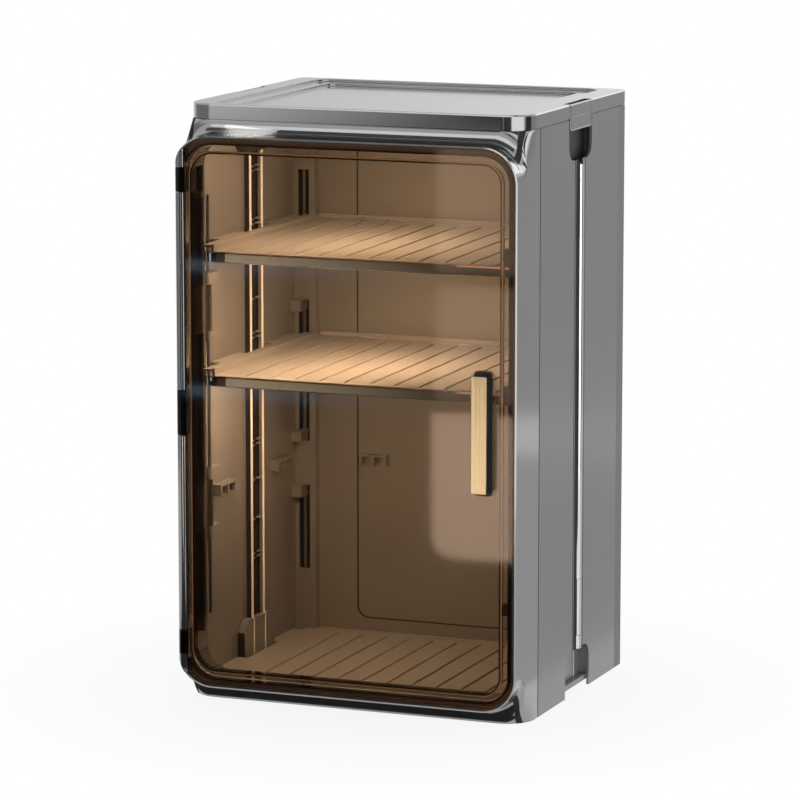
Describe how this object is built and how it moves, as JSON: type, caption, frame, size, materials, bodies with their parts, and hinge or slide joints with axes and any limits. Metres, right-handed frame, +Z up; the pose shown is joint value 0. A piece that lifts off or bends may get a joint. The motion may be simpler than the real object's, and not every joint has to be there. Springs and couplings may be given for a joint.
{
  "type": "cup storage cabinet",
  "caption": "Upright folding storage cabinet for cups with a hinged clear door, lift-off latched lid, ribbed shelves on moulded supports and a ribbed floor plate.",
  "frame": {"origin": "middle of the bounding box, on the surface the cabinet stands on", "axes": "+Z up, -Y towards the door, +X to the right seen from the door side"},
  "size_m": [0.388, 0.3588, 0.632],
  "materials": {
    "case_plastic": "glossy",
    "panel_plastic": "satin",
    "dark_plastic": "satin",
    "shelf_plastic": "glossy",
    "steel": "brushed",
    "gold_metal": "satin gold anodised",
    "clear_brown": "transparent glossy"
  },
  "bodies": {
    "case": {"front_frame": "case_plastic", "left_front_hinge_rod": "steel", "left_rear_hinge_rod": "steel", "right_front_hinge_rod": "steel", "right_rear_hinge_rod": "steel", "left_front_panel": "panel_plastic", "left_rear_panel": "panel_plastic", "right_front_panel": "panel_plastic", "right_rear_panel": "panel_plastic", "left_middle_hinge_rod": "steel", "right_middle_hinge_rod": "steel", "left_recess_cup": "dark_plastic", "right_recess_cup": "dark_plastic", "left_notch_housing": "panel_plastic", "right_notch_housing": "panel_plastic", "back_panel": "panel_plastic", "base_board": "panel_plastic", "door_hinge_rod": "steel", "lower_strike_plate": "steel", "upper_strike_plate": "steel"},
    "door": {"door_panel": "clear_brown", "door_stiffener": "clear_brown", "lower_door_magnet": "dark_plastic", "upper_door_magnet": "dark_plastic", "handle_base": "clear_brown", "handle_body": "dark_plastic", "handle_strip": "gold_metal"},
    "lid": {"top_lid": "case_plastic", "left_latch_pin": "steel", "right_latch_pin": "steel"},
    "left_latch": {"left_latch": "case_plastic"},
    "right_latch": {"right_latch": "case_plastic"},
    "lower_shelf": {"lower_shelf": "shelf_plastic", "lower_shelf_bar": "steel"},
    "upper_shelf": {"upper_shelf": "shelf_plastic", "upper_shelf_bar": "steel"},
    "floor_plate": {"floor_plate": "shelf_plastic"}
  },
  "joints": [
    {"name": "door_swing", "type": "hinge", "parent": "case", "child": "door", "pos_m": [-0.184, -0.15745, 0.3085], "axis": [0, 0, -1], "range_deg": [0, 110]},
    {"name": "lid_lift", "type": "slide", "parent": "case", "child": "lid", "axis": [0, 0, 1], "range_m": [0, 0.08]},
    {"name": "left_latch_swing", "type": "hinge", "parent": "lid", "child": "left_latch", "pos_m": [-0.1882, 0.0291, 0.6291], "axis": [0, 1, 0], "range_deg": [0, 80]},
    {"name": "right_latch_swing", "type": "hinge", "parent": "lid", "child": "right_latch", "pos_m": [0.1882, 0.0291, 0.6291], "axis": [0, -1, 0], "range_deg": [0, 80]},
    {"name": "lower_shelf_lift", "type": "slide", "parent": "case", "child": "lower_shelf", "axis": [0, 0, 1], "range_m": [0, 0.1]},
    {"name": "upper_shelf_lift", "type": "slide", "parent": "case", "child": "upper_shelf", "axis": [0, 0, 1], "range_m": [0, 0.085]},
    {"name": "floor_plate_lift", "type": "slide", "parent": "case", "child": "floor_plate", "axis": [0, 0, 1], "range_m": [0, 0.1]}
  ]
}
